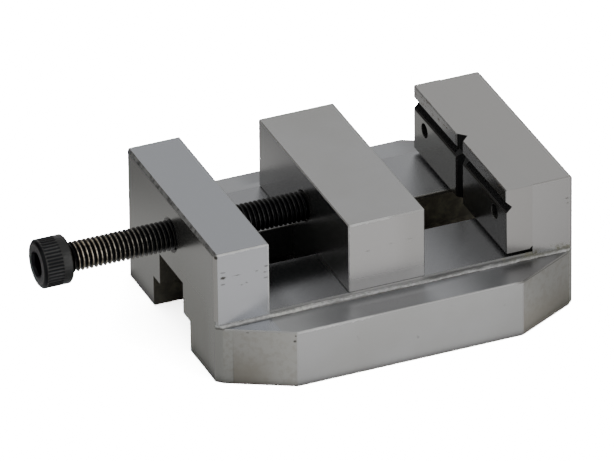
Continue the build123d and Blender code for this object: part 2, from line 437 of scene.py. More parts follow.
@dataclass(frozen=True)
class Mottle:
    """A noise that makes a coat uneven: its features per metre, and where the mask is 0 and 1."""

    scale: float
    low: float
    high: float
    rough: float = 0.6
    stretch: Point | None = None
    least: float = 0.0

    def mask(self, graph: Graph, spot: Spot) -> Socket:
        """Builds the mask.

        Args:
            graph: The material's graph.
            spot: Where the shader is.

        Returns:
            The mask, from least to 1.
        """
        point = graph.stretched(spot.point, self.stretch) if self.stretch else spot.point
        mask = graph.ramp(graph.noise(point, self.scale, 3.0, self.rough), self.low, self.high)
        return graph.between(mask, self.least, 1.0) if self.least else mask


@dataclass(frozen=True)
class Either:
    """The stronger of two masks."""

    first: Place
    second: Place

    def mask(self, graph: Graph, spot: Spot) -> Socket:
        """Takes the larger value."""
        return graph.math("MAXIMUM", spot.mask(self.first), spot.mask(self.second))


@dataclass(frozen=True)
class Slanted:
    """The slanted faces and rounded edges, which face along no axis."""

    square: float = 0.86
    slanted: float = 0.76

    def mask(self, graph: Graph, spot: Spot) -> Socket:
        """Places the shared effect."""
        return graph.effect(EFFECTS.broken, {"Square": self.square, "Slanted": self.slanted})["Mask"]


@dataclass(frozen=True)
class Bruise:
    """A round blow at one point, in millimetres."""

    centre: Point
    outer: float
    inner: float

    def mask(self, graph: Graph, spot: Spot) -> Socket:
        """Masks by the distance from the centre."""
        away = graph.vector("DISTANCE", spot.point, tuple(value * MM for value in self.centre)).outputs[1]
        return graph.ramp(away, self.outer * MM, self.inner * MM)


@dataclass(frozen=True)
class Nicks:
    """Small ragged dents in a front face, each by its centre, length and height, and how deep its tone is."""

    marks: tuple[tuple[float, float, float, float, float], ...]
    front: float = -30.0
    ragged: float = 0.5
    grain: float = 1800.0
    core: float = 0.35

    def mask(self, graph: Graph, spot: Spot) -> Socket:
        """Masks the dents, all sizes in millimetres.

        Args:
            graph: The material's graph.
            spot: Where the shader is.

        Returns:
            The mask.
        """
        jitter = graph.add("ShaderNodeTexNoise", {"Vector": spot.point, "Scale": self.grain}).outputs["Color"]
        ragged = graph.vector("SCALE", graph.vector("SUBTRACT", jitter, (0.5, 0.5, 0.5)).outputs[0])
        ragged.inputs["Scale"].default_value = self.ragged * MM
        point = graph.vector("ADD", spot.point, ragged.outputs[0]).outputs[0]
        marked: object = 0.0
        for x, z, length, height, depth in self.marks:
            away = graph.vector("SUBTRACT", point, (x * MM, self.front * MM, z * MM)).outputs[0]
            size = (1 / (length * MM), 0.0, 1 / (height * MM))
            reach = graph.vector("LENGTH", graph.stretched(away, size)).outputs[1]
            dent = graph.product(graph.ramp(reach, 1.0, self.core), depth)
            marked = graph.math("MAXIMUM", marked, dent)
        return graph.product(marked, graph.ramp(spot.measures["normal_y"], -0.8, -0.86))


@dataclass(frozen=True)
class HighlitEdge:
    """A stretch of edge with a painted highlight, ragged like handling wear, on the faces that look one way.

    The edge lies where the coordinate across has the value at, between two limits of the coordinate along.
    """

    across: Axis
    at: float
    along: Axis
    start: float
    end: float
    reach: float
    share: float
    facing: Axis = Axis.Y
    sign: float = -1.0
    mirrored: bool = False
    soft: float = 1.0
    ragged: float = 2.0
    turned: Limits = (0.6, 0.7)

    def mask(self, graph: Graph, spot: Spot) -> Socket:
        """Masks the band, all sizes in millimetres.

        Args:
            graph: The material's graph.
            spot: Where the shader is.

        Returns:
            The mask.
        """
        value = spot.measures[self.across.value]
        if self.mirrored:
            value = graph.math("ABSOLUTE", value)
        away = graph.math("ABSOLUTE", graph.math("SUBTRACT", value, self.at * MM))
        band = graph.effect(EFFECTS.highlit, {
            "Distance": away, "Reach": self.reach * MM, "Ragged": self.ragged * self.reach * MM,
        })["Mask"]
        towards = graph.product(spot.measures[f"normal_{self.facing.value}"], self.sign)
        limits = (self.start * MM, self.end * MM, self.soft * MM)
        stretch = graph.fade(spot.measures[self.along.value], limits)
        return graph.product(band, graph.fade(towards, self.turned), stretch, self.share)


@dataclass(frozen=True)
class Coat:
    """What a mask lays over a finish: colour, roughness, share of metal, and how far it smears along X."""

    colour: Colour
    roughness: float
    metallic: float = 1.0
    smear: float = 0.0


@dataclass(frozen=True)
class Patch:
    """A coat, named for its place, and the parts whose masks are multiplied into its own."""

    name: str
    coat: Coat
    parts: tuple[Part, ...]
    share: float = 1.0

    def mask(self, graph: Graph, spot: Spot) -> Socket:
        """Multiplies the parts' masks and the share.

        Args:
            graph: The material's graph.
            spot: Where the shader is.

        Returns:
            The mask.
        """
        masks = [spot.mask(part) for part in self.parts]
        return graph.product(*masks, self.share) if self.share < 1.0 else graph.product(*masks)


BROKEN_EDGE = Patch("broken edges", Coat((0.44, 0.44, 0.43), 0.5), (Slanted(),))
# Light coat of the painted edge highlights
EDGE_HIGHLIGHT = Coat((0.62, 0.62, 0.61), 0.45)
DENT = Coat((0.08, 0.076, 0.068), 0.45)


def highlit(*edges: HighlitEdge) -> tuple[Patch, ...]:
    """Paints highlights along stretches of edge."""
    return tuple(Patch("rubbed edge", EDGE_HIGHLIGHT, (edge,)) for edge in edges)


@dataclass(frozen=True)
class GroundSteel:
    """Surface-ground tool steel: fine wheel lines, handling stains, and patches laid over it in order."""

    name: str
    colour: Colour = (0.4, 0.4, 0.398)
    stain: Colour = (0.372, 0.37, 0.36)
    fleck: Colour = (0.16, 0.155, 0.14)
    roughness: float = 0.25
    bare: float = 0.955
    line_scale: float = 3000.0
    line_height: float = 0.06
    polish: float = 0.03
    dulling: float = 0.04
    fleck_share: float = 0.3
    patches: tuple[Patch, ...] = (BROKEN_EDGE,)

    def measure(self, graph: Graph, spot: Spot) -> None:
        """Adds the measures that only this steel's patches use, here none."""

    def coated(self, graph: Graph, colour: Socket, rough: Socket) -> dict[str, object]:
        """Lays the patches over the plain steel, one after another.

        Args:
            graph: The material's graph.
            colour: The plain steel's colour.
            rough: The plain steel's roughness.

        Returns:
            What goes into the shader, by the input's name.
        """
        spot = Spot(graph)
        self.measure(graph, spot)
        metal: object = self.bare
        smear: object = 0.0
        for patch in self.patches:
            coat = patch.coat
            mask = patch.mask(graph, spot)
            colour = graph.blend(mask, colour, (*coat.colour, 1.0))
            colour.node.label = patch.name
            rough = graph.between(mask, rough, coat.roughness)
            if coat.metallic < 1.0:
                metal = graph.between(mask, metal, coat.metallic)
            if coat.smear > 0.0:
                smear = graph.between(mask, smear, coat.smear)
        fed = {"Base Color": colour, "Metallic": metal, "Roughness": rough}
        if smear != 0.0:
            fed["Anisotropic"] = smear
            fed["Tangent"] = graph.add("ShaderNodeCombineXYZ", {"X": 1.0}).outputs[0]
        return fed

    def material(self) -> bpy.types.Material:
        """Builds the finish.

        Returns:
            The material.
        """
        material, graph, shader = new_material(self.name)
        lines = graph.effect(EFFECTS.grinding, {"Scale": self.line_scale})
        marks = graph.effect(EFFECTS.handling, {})
        colour = graph.blend(marks["Broad"], (*self.colour, 1.0), (*self.stain, 1.0))
        flecks = graph.product(marks["Spots"], self.fleck_share)
        colour = graph.blend(flecks, colour, (*self.fleck, 1.0))
        fine, coarse = self.roughness - self.polish, self.roughness + self.dulling
        rough = graph.between(lines["Streaks"], fine, coarse)
        for label, value in self.coated(graph, colour, rough).items():
            graph.feed(shader.inputs[label], value)
        bump = graph.add("ShaderNodeBump", {
            "Strength": self.line_height, "Distance": LINE_DEPTH, "Height": lines["Height"],
        })
        graph.feed(shader.inputs["Normal"], bump.outputs[0])
        return material


# Places on the body, shared by its patches
BED = Place(z=(17.9, 18.1, 0.05), normal_z=(0.9, 0.98))
LEDGE = Place(z=(16.2, 16.4, 0.05), normal_z=(0.9, 0.98))
ABOVE_BED = Place(z=(18.0, 18.2))
END_TOP = Place(x=(-16.0, -17.0), normal_z=(0.9, 0.98))
END_BLOCK = Place(x=(-16.0, -16.6))
END_FRONT = Place(normal_y=(-0.9, -0.96))
END_FACE = Place(side_x=(0.85, 0.95))
FIXED_BLOCK = Place(x=(56.5, 56.9))
UPRIGHT = Place(side_z=(0.3, 0.1))
CORNER = Place(side_x=(0.36, 0.6, 0.03))
TURNED = Place(side_x=(0.985, 0.95))
PAST_LINE = Place(x=(-27.5, -27.7))
SLOT = Place(across=(12.9, 12.7), z=(17.98, 17.7), side_x=(0.6, 0.4))
BORE_END = Place(x=(-28.0, -29.0))
STEP = Place(across=(29.32, 31.0, 0.05), z=(18.06, 17.96), normal_z=(0.99, 0.94))
STEP_LENGTH = Either(Place(x=(-16.5, 57.0, 0.05)), Place(z=(17.25, 17.15)))
WALL = (STEP, STEP_LENGTH)
LUMPS = Mottle(1100.0, 0.38, 0.6, least=0.5)
THINNER = (Place(x=(50.0, -12.0), least=0.78), Place(x=(-21.0, -15.0), least=0.75))
# Where the bright bead lies, a deposit with a painted highlight
BEAD = (*WALL, LUMPS, *THINNER, Place(sunk=(16.75, 17.25, 0.22)))
BLOTCHES = Mottle(600.0, 0.42, 0.66)

# Coats that several of the body's patches wear
CORNER_END = Coat((0.408, 0.41, 0.388), 0.33)
BLOTCH = Coat((0.3, 0.282, 0.245), 0.4)
# Near black coat of painted shade, in the slot and the bore
PAINTED_SHADE = Coat((0.018, 0.019, 0.02), 0.4, 0.3)
# Dark coat: grime on the cut corner's line, painted shade in the root's crease and along the sole's edge
GRIME_AND_SHADE = Coat((0.1, 0.098, 0.085), 0.5)


@dataclass(frozen=True)
class BodySteel(GroundSteel):
    """The body's steel: cut corners of a coarser finish, a slot of brown dirt deepened with painted shade,
    and a bright bead along the bed's foot, a deposit with a painted highlight.

    Its own sizes are in millimetres. A drop lowers the bead between two places along X.
    """

    bore_height: float = 28.0
    wander: float = 0.9
    rear_drop: Limits = (5.0, 30.0, 0.36)
    end_drop: Limits = (-3.0, -8.0, 0.15)
    patches: tuple[Patch, ...] = (
        # Tones by face: the bed, ledge, end face and blocks' faces of one steel set lighter, darker, bluer or
        # warmer for the light each catches, painted light and shade; the bed's smeared grind and the ledge's
        # rougher finish are real
        Patch("bed", Coat((0.308, 0.312, 0.324), 0.23, smear=1.0), (BED,)),
        Patch("bed at the plate", Coat((0.328, 0.332, 0.342), 0.23, smear=1.0), (BED, Place(x=(36.0, 46.0)))),
        # Painted contact shade on the bed beside the end block
        Patch("bed at the end block", Coat((0.216, 0.219, 0.227), 0.23, smear=1.0),
              (BED, Place(x=(-8.0, -13.0), y=(0.0, -10.0)))),
        Patch("ledge", Coat((0.38, 0.387, 0.4), 0.36), (LEDGE,)),
        Patch("ledge's end", Coat((0.375, 0.38, 0.383), 0.34), (LEDGE, Place(x=(4.0, -12.0)))),
        Patch("ledge's outer half", Coat((0.29, 0.295, 0.306), 0.36),
              (LEDGE, Place(x=(4.0, 26.0, 3.0), across=(33.5, 35.0)))),
        Patch("end face", Coat((0.4, 0.396, 0.375), 0.25), (END_FACE,)),
        # Painted shade: the end face darker low down and towards the front
        Patch("end face's foot", Coat((0.31, 0.31, 0.28), 0.3),
              (END_FACE, Place(y=(8.0, -8.0), z=(36.0, 12.0), across=(31.0, 22.0))), 0.7),
        Patch("ledge's rear", Coat((0.28, 0.282, 0.288), 0.36), (LEDGE, Place(x=(44.0, 54.0)))),
        Patch("fixed block's top", Coat((0.385, 0.378, 0.367), 0.25),
              (FIXED_BLOCK, ABOVE_BED, Place(normal_z=(0.9, 0.96)))),
        Patch("fixed block's front", Coat((0.366, 0.358, 0.35), 0.25),
              (FIXED_BLOCK, ABOVE_BED, Place(normal_y=(-0.9, -0.96)))),
        Patch("end block's front", Coat((0.4, 0.404, 0.418), 0.25), (END_BLOCK, END_FRONT)),
        # Painted light: the end block's front lighter low down, lifting the shade at its foot
        Patch("end block's foot", Coat((0.5, 0.505, 0.52), 0.25),
              (END_BLOCK, END_FRONT, Place(x=(-28.0, -19.0), z=(23.5, 18.5)))),
        BROKEN_EDGE,
        # Painted highlights along the end block's, ledge's and slot's edges
        *highlit(
            HighlitEdge(Axis.Z, 38.0, Axis.X, -31.5, -17.0, 0.75, 0.8),
            HighlitEdge(Axis.X, -16.5, Axis.Z, 18.0, 38.0, 0.45, 1.0),
            HighlitEdge(Axis.X, -31.3, Axis.Z, 17.0, 38.0, 0.5, 0.7),
            HighlitEdge(Axis.Z, 16.3, Axis.X, -13.0, 7.0, 0.8, 0.85, soft=5.0),
            HighlitEdge(Axis.Y, 8.0, Axis.X, -16.5, 49.0, 0.4, 0.6, Axis.Z, 1.0, mirrored=True),
            HighlitEdge(Axis.Y, 8.0, Axis.X, -16.5, -3.0, 1.2, 1.0, Axis.Z, 1.0, soft=4.0),
        ),
        Patch("end block's upper bevel", Coat((0.2, 0.2, 0.195), 0.4),
              (END_BLOCK, Place(normal_x=(-0.4, -0.6), normal_z=(0.4, 0.6)),
               Mottle(600.0, 0.42, 0.66, least=0.25))),
        Patch("cut corner", Coat((0.388, 0.384, 0.363), 0.33), (CORNER, UPRIGHT)),
        # Darker, browner tone towards the cut corners' feet
        Patch("cut corner's darker foot", BLOTCH,
              (CORNER, UPRIGHT, Place(z=(12.0, 2.0)),
               Either(Place(x=(-16.0, -24.0)), Place(x=(40.0, 45.0)))), 0.85),
        Patch("cut corner past its line", CORNER_END, (CORNER, UPRIGHT, PAST_LINE)),
        Patch("base's upright edge", CORNER_END, (UPRIGHT, PAST_LINE, TURNED, Place(z=(16.4, 16.1)))),
        Patch("ledge's dull rear rim", Coat((0.19, 0.188, 0.178), 0.4),
              (Place(x=(47.0, 50.0), z=(16.4, 16.35), across=(30.6, 31.2), side_z=(0.99, 0.95)),
               Place(z=(15.7, 15.9)))),
        Patch("fixed block's edge", Coat((0.29, 0.283, 0.275), 0.35),
              (FIXED_BLOCK, ABOVE_BED, Place(side_x=(0.3, 0.1), normal_z=(0.96, 0.9)),
               Place(normal_z=(0.2, 0.3)))),
        # Painted highlight on the end block's upright outer edge
        Patch("end block's upright edge", Coat((0.5, 0.49, 0.465), 0.35),
              (ABOVE_BED, UPRIGHT, TURNED, Place(x=(-30.7, -30.9)))),
        Patch("cut corner's blotches", BLOTCH, (CORNER, UPRIGHT, BLOTCHES), 0.4),
        Patch("cut corner's line", GRIME_AND_SHADE,
              (CORNER, UPRIGHT, Place(x=(-27.7, -27.5, 0.2)), Place(z=(14.0, 2.0), least=0.3)), 0.4),
        # The slot's walls: brown dirt, made darker as painted shade
        Patch("slot", Coat((0.27, 0.252, 0.205), 0.42), (SLOT,)),
        Patch("slot's dirt", Coat((0.4, 0.38, 0.29), 0.5), (SLOT, Mottle(300.0, 0.4, 0.75))),
        # Painted shade in the slot: within the end block, under the thread and along the slot's lip
        Patch("painted_shade at the slot's end", PAINTED_SHADE, (SLOT, Place(x=(-22.0, -30.0))), 0.5),
        Patch("painted_shade under the thread", PAINTED_SHADE, (SLOT, Place(x=(26.0, 8.0)), Place(x=(-20.0, -16.0))), 0.96),
        Patch("painted_shade on the slot's lip", PAINTED_SHADE, (SLOT, Place(z=(17.1, 19.0, 0.2))), 0.8),
        # Painted light: a bluer tone on the end block's top
        Patch("end block's top", Coat((0.357, 0.369, 0.391), 0.25), (END_TOP,)),
        # Painted light: pale grey on the bore's rim, lifting the shade round the thread
        Patch("bore's rim", Coat((0.55, 0.543, 0.525), 0.6, 0.0),
              (BORE_END, Place(bore=(5.2, 5.0), side_x=(0.95, 0.9)))),
        # Painted shade inside the bore, round the thread
        Patch("painted_shade in the bore", PAINTED_SHADE, (BORE_END, Place(bore=(4.6, 4.4), side_x=(0.5, 0.3)))),
        Patch("crust", Coat((0.235, 0.236, 0.23), 0.7, 0.15), (*WALL, Place(height=(16.3, 16.55)))),
        Patch("crust's rear", Coat((0.135, 0.135, 0.134), 0.6, 0.3),
              (*WALL, Place(x=(25.0, 30.0), height=(16.9, 17.2)))),
        Patch("step's lip", Coat((0.215, 0.216, 0.213), 0.5, 0.3), (*WALL, Place(height=(17.25, 17.9)))),
        # Painted light on the step under the jaw, lifting the jaw's shadow
        Patch("step under the jaw", Coat((0.31, 0.31, 0.305), 0.5, 0.3),
              (*WALL, Place(x=(6.5, 26.0, 0.8), z=(16.9, 17.1)))),
        Patch("stain at the fixed block", Coat((0.19, 0.19, 0.155), 0.6, 0.15),
              (*WALL, Place(x=(52.0, 56.0)), Mottle(1100.0, 0.6, 0.38, least=4 / 7)), 0.7),
        # Bead along the step's root: partly a real deposit, partly a painted highlight of the root's fillet
        Patch("highlit_residue", Coat((0.6, 0.602, 0.598), 0.7, 0.0), BEAD),
        Patch("residue at the end block", Coat((0.68, 0.685, 0.635), 0.7, 0.0),
              (*BEAD, Place(x=(0.0, -10.0)), Place(x=(-20.0, -13.0), least=0.2))),
        # Painted shade in the crease at the ledge's root
        Patch("dark line in the root", GRIME_AND_SHADE, (*WALL, Place(height=(16.0, 16.45, 0.12))), 0.7),
        Patch("dirt at the rear", Coat((0.17, 0.165, 0.12), 0.5),
              (Place(x=(44.0, 54.0), z=(16.9, 18.4, 0.9), across=(29.3, 29.4), normal_z=(0.99, 0.94)),
               Mottle(520.0, 0.46, 0.6, 0.65)), 0.85),
        # Painted contact shadow along the sole's edge
        Patch("sole's edge", GRIME_AND_SHADE, (Place(z=(0.42, 0.22), across=(25.0, 29.0)),), 0.85),
        Patch("bruised corner", DENT, (Bruise((-31.0, -29.7, 37.1), 0.7, 0.3),)),
        Patch("nicks", DENT, (Nicks((
            (-29.2, 30.84, 1.1, 0.56, 1.0),
            (-29.2, 32.4, 1.0, 0.28, 0.6),
            (-29.2, 28.95, 0.8, 0.34, 0.55),
            (-25.4, 30.78, 1.5, 0.2, 0.6),
            (-19.9, 30.82, 0.6, 0.3, 0.4),
            (-22.7, 28.05, 0.6, 0.3, 0.4),
            (-24.1, 27.7, 0.5, 0.3, 0.35),
            (-17.2, 31.63, 0.8, 0.34, 0.65),
            (-17.6, 29.9, 0.7, 0.3, 0.5),
            (-17.4, 28.25, 0.9, 0.34, 0.5),
            (-13.6, 13.6, 0.5, 0.5, 0.9),
            (-13.4, 15.2, 0.35, 0.36, 0.7),
            (-24.3, 15.6, 0.5, 0.3, 0.5),
            (66.7, 31.8, 0.7, 0.36, 0.5),
            (66.85, 30.3, 0.5, 0.3, 0.45),
        )),)),
    )

    def measure(self, graph: Graph, spot: Spot) -> None:
        """Adds the bright bead's wandering heights and the distance from the bore's axis.

        Args:
            graph: The material's graph.
            spot: Where the shader is, with its measures added here.
        """
        noise = graph.noise(graph.stretched(spot.point, (0.35, 1.0, 1.0)), 900.0, 3.0, 0.65)
        lift = graph.product(graph.math("SUBTRACT", noise, 0.5), self.wander * MM)
        height = graph.math("ADD", spot.measures["z"], lift)
        drops = [
            graph.between(graph.ramp(spot.measures["x"], start * MM, end * MM), 0.0, drop * MM)
            for start, end, drop in (self.rear_drop, self.end_drop)
        ]
        away = graph.vector("SUBTRACT", spot.point, (0.0, 0.0, self.bore_height * MM)).outputs[0]
        spot.measures.update(
            height=height,
            sunk=graph.math("ADD", height, graph.math("MAXIMUM", *drops)),
            bore=graph.vector("LENGTH", graph.stretched(away, (0.0, 1.0, 1.0))).outputs[1],
        )


# Places on the moving jaw
JAW_FRONT = Place(normal_y=(-0.8, -0.9))
JAW_BACK = Place(normal_x=(-0.8, -0.9))


@dataclass(frozen=True)
class JawSteel(GroundSteel):
    """The moving jaw's steel, whose front and back are not of one tone all over."""

    patches: tuple[Patch, ...] = (
        BROKEN_EDGE,
        # Tones by face: the jaw's front and back and their parts set lighter or darker for the light each
        # catches, painted light and shade
        Patch("front", Coat((0.388, 0.38, 0.372), 0.25), (JAW_FRONT,)),
        Patch("back", Coat((0.33, 0.325, 0.318), 0.25), (JAW_BACK,)),
        Patch("front's right side", Coat((0.35, 0.343, 0.332), 0.25), (JAW_FRONT, Place(x=(17.0, 24.0)))),
        # Painted light: the jaw's front lighter low down, lifting the shade at its foot
        Patch("front's foot", Coat((0.52, 0.51, 0.5), 0.3), (JAW_FRONT, Place(z=(24.5, 18.5)))),
        Patch("back's rear half", Coat((0.42, 0.415, 0.405), 0.25), (JAW_BACK, Place(y=(8.0, 30.0)))),
        # Painted highlights along the jaw's edges
        *highlit(
            HighlitEdge(Axis.Z, 38.0, Axis.X, 5.6, 17.0, 0.6, 0.8, soft=2.0),
            HighlitEdge(Axis.X, 5.6, Axis.Z, 18.0, 38.0, 0.4, 1.0),
            HighlitEdge(Axis.Z, 38.0, Axis.Y, -30.0, 30.0, 0.5, 0.6, Axis.X),
            HighlitEdge(Axis.X, 26.8, Axis.Y, -30.0, -22.0, 0.5, 1.0, Axis.Z, 1.0),
        ),
        Patch("nicks", DENT, (Nicks((
            (22.6, 30.2, 1.3, 0.18, 0.35),
            (10.9, 29.3, 1.0, 0.2, 0.35),
            (17.2, 30.0, 0.8, 0.15, 0.25),
        )),)),
    )


# Places on the jaw plate and a coat of painted shade for its level groove; the plate's face stands at x =
# 49.5 and its level groove at z = 32.8
PLATE_FACE = Place(z=(32.8, 31.8), normal_x=(-0.9, -0.96))
PROUD = Place(x=(49.9, 49.82))
DEEP = Place(x=(49.82, 49.9))
GROOVE_SHADE = Coat((0.12, 0.118, 0.114), 0.3)


@dataclass(frozen=True)
class PlateSteel(GroundSteel):
    """The jaw plate's hardened steel, with V grooves and holes darkened as painted shade and brown specks
    along its lip.
    """

    colour: Colour = (0.385, 0.378, 0.367)
    patches: tuple[Patch, ...] = (
        # Tones by face: the plate's front end and face set darker for the light each catches, painted shade
        Patch("front end", Coat((0.342, 0.332, 0.32), 0.25), (Place(normal_y=(-0.9, -0.96)),)),
        Patch("face", Coat((0.33, 0.328, 0.308), 0.25), (PLATE_FACE,)),
        # Painted dark reflection on the face's front half
        Patch("face's front half", Coat((0.18, 0.178, 0.173), 0.25, 0.9),
              (PLATE_FACE, Place(y=(4.0, -12.0)))),
        # Painted shade under the level groove
        Patch("face under the groove", GROOVE_SHADE, (PLATE_FACE, Place(z=(30.9, 32.0, 0.2))), 0.8),
        Patch("lip's edge", BROKEN_EDGE.coat,
              (Slanted(), PROUD, Place(z=(32.8, 33.5)), Place(y=(-4.0, 4.0), least=0.35))),
        # Painted shade on the groove's lower edge
        Patch("groove's lower edge", GROOVE_SHADE, (Slanted(), PROUD, Place(z=(32.8, 32.2)))),
        # The V grooves' facets darker as painted shade, and smoother; the holes and the upright groove near
        # black, painted shade
        Patch("grooves", Coat((0.22, 0.22, 0.22), 0.16), (Slanted(), DEEP)),
        Patch("holes and the upright groove", Coat((0.015, 0.015, 0.015), 0.5),
              (DEEP, Place(across=(29.3, 28.8), normal_z=(0.9, 0.6)),
               Either(Place(z=(31.3, 31.0)), Place(across=(3.6, 3.2)))), 0.85),
        Patch("rust specks", Coat((0.2, 0.165, 0.125), 0.5),
              (PROUD, Place(z=(32.8, 36.8)), Mottle(900.0, 0.56, 0.68, 0.7, (1.0, 0.4, 1.0)))),
    )


@dataclass(frozen=True)
class BlackOxide:
    """Blackened screw steel whose crests are worn to brown and grey, most of all near the head.

    Crests wear from one radius to another. The radii given here lie beyond any screw, whose thread then
    stays black. Where a highlight radius is given, the head's front rim gets a painted highlight within a
    band about it.
    """

    name: str
    axis_y: float
    axis_z: float
    head_end: float
    head_radius: float
    head_share: float = 0.1
    worn_from: float = 1.0
    worn_to: float = 2.0
    worn_length: float = 10.0 * MM
    far_share: float = 0.1
    colour: Colour = (0.017, 0.0175, 0.019)
    highlight_radius: float = 0.0
    head_front: float = 0.0
    near: Colour = (0.82, 0.74, 0.6)
    far: Colour = (0.38, 0.375, 0.35)
    roughness: float = 0.4
    patchiness: float = 0.06
    pit_scale: float = 5000.0
    pit_height: float = 0.15
    highlight_band: Limits = (-0.4 * MM, 0.1 * MM, 0.2 * MM)
    highlight_depth: Limits = (0.6 * MM, 0.3 * MM)
    highlight_gain: float = 1.5

    def material(self) -> bpy.types.Material:
        """Builds the finish.

        Returns:
            The material, worn by distance from the screw's own axis.
        """
        material, graph, shader = new_material(self.name)
        spot = Spot(graph)
        worn = graph.effect(EFFECTS.worn, {
            "Axis Y": self.axis_y, "Axis Z": self.axis_z,
            "Worn From": self.worn_from, "Worn To": self.worn_to,
            "Head End": self.head_end, "Head Radius": self.head_radius, "Worn Length": self.worn_length,
        })
        thread = graph.product(worn["Thread"], graph.between(worn["Along"], 1.0, self.far_share))
        ridges = graph.product(worn["Head"], self.head_share)
        # Painted highlight on the head's front rim
        if self.highlight_radius:
            low, high, soft = self.highlight_band
            ring = graph.fade(worn["Radius"], (self.highlight_radius + low, self.highlight_radius + high, soft))
            limits = tuple(self.head_front + depth for depth in self.highlight_depth)
            front = graph.fade(spot.measures["x"], limits)
            rim = graph.product(ring, front, self.highlight_gain * self.head_share)
            ridges = graph.math("MAXIMUM", ridges, rim)
        colour = graph.blend(ridges, (*self.colour, 1.0), (*self.far, 1.0))
        crest = graph.blend(worn["Along"], (*self.near, 1.0), (*self.far, 1.0))
        graph.feed(shader.inputs["Base Color"], graph.blend(thread, colour, crest))
        shader.inputs["Metallic"].default_value = 1.0
        dull, bright = self.roughness + self.patchiness, self.roughness - self.patchiness
        graph.feed(shader.inputs["Roughness"], graph.between(worn["Patches"], dull, bright))
        bump = graph.add("ShaderNodeBump", {
            "Strength": self.pit_height, "Distance": LINE_DEPTH,
            "Height": graph.noise(spot.point, self.pit_scale),
        })
        graph.feed(shader.inputs["Normal"], bump.outputs[0])
        return material


@dataclass(frozen=True)
class PolishedPin:
    """Bright drawn steel of the dowels and retaining pins."""

    name: str
    colour: Colour = (0.55, 0.55, 0.54)
    streak: Colour = (0.48, 0.48, 0.47)
    roughness: float = 0.18
    streak_roughness: float = 0.3
    line_scale: float = 6000.0

    def material(self) -> bpy.types.Material:
        """Builds the finish.

        Returns:
            The material.
        """
        material, graph, shader = new_material(self.name)
        streaks = graph.effect(EFFECTS.grinding, {"Scale": self.line_scale})["Streaks"]
        tone = graph.blend(streaks, (*self.colour, 1.0), (*self.streak, 1.0))
        graph.feed(shader.inputs["Base Color"], tone)
        shader.inputs["Metallic"].default_value = 1.0
        rough = graph.between(streaks, self.roughness, self.streak_roughness)
        graph.feed(shader.inputs["Roughness"], rough)
        return material


def placed(name: str, data: bpy.types.ID) -> bpy.types.Object:
    """Puts an object at the origin of the scene.

    Args:
        name: The object's name.
        data: Its mesh or camera.

    Returns:
        The object.
    """
    thing = bpy.data.objects.new(name, data)
    bpy.context.scene.collection.objects.link(thing)
    return thing


def applied(work: bpy.types.Object) -> bpy.types.Mesh:
    """Turns a working object into a plain mesh and takes it and its modifiers away.

    Args:
        work: The object with its modifiers.

    Returns:
        The evaluated mesh.
    """
    mesh = bpy.data.meshes.new_from_object(work.evaluated_get(bpy.context.evaluated_depsgraph_get()))
    work.modifiers.clear()
    bpy.data.objects.remove(work)
    return mesh


@dataclass
class Dressed:
    """A piece that stands for its CAD node and rides on its body."""

    node: str
    body: Body
    slot: Slot

    def dressed(self, name: str, mesh: bpy.types.Mesh) -> bpy.types.Object:
        """Puts the finished mesh in its node's stead.

        Args:
            name: The piece's name.
            mesh: The finished mesh, with its material.

        Returns:
            The finished piece.
        """
        mesh.name = name
        piece = placed(name, mesh)
        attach(piece, self.body.value)
        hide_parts(self.node)
        LOG.info("%s: %d faces", name, len(mesh.polygons))
        return piece


class Form(Enum):
    """How a ring of a turned blank is shaped."""

    ROUND = "round"
    HEXAGON = "hexagon"


@dataclass(frozen=True)
class Ring:
    """One ring of a turned blank: its place along the axis, its radius or half width, and its form."""

    x: float
    radius: float
    form: Form = Form.ROUND


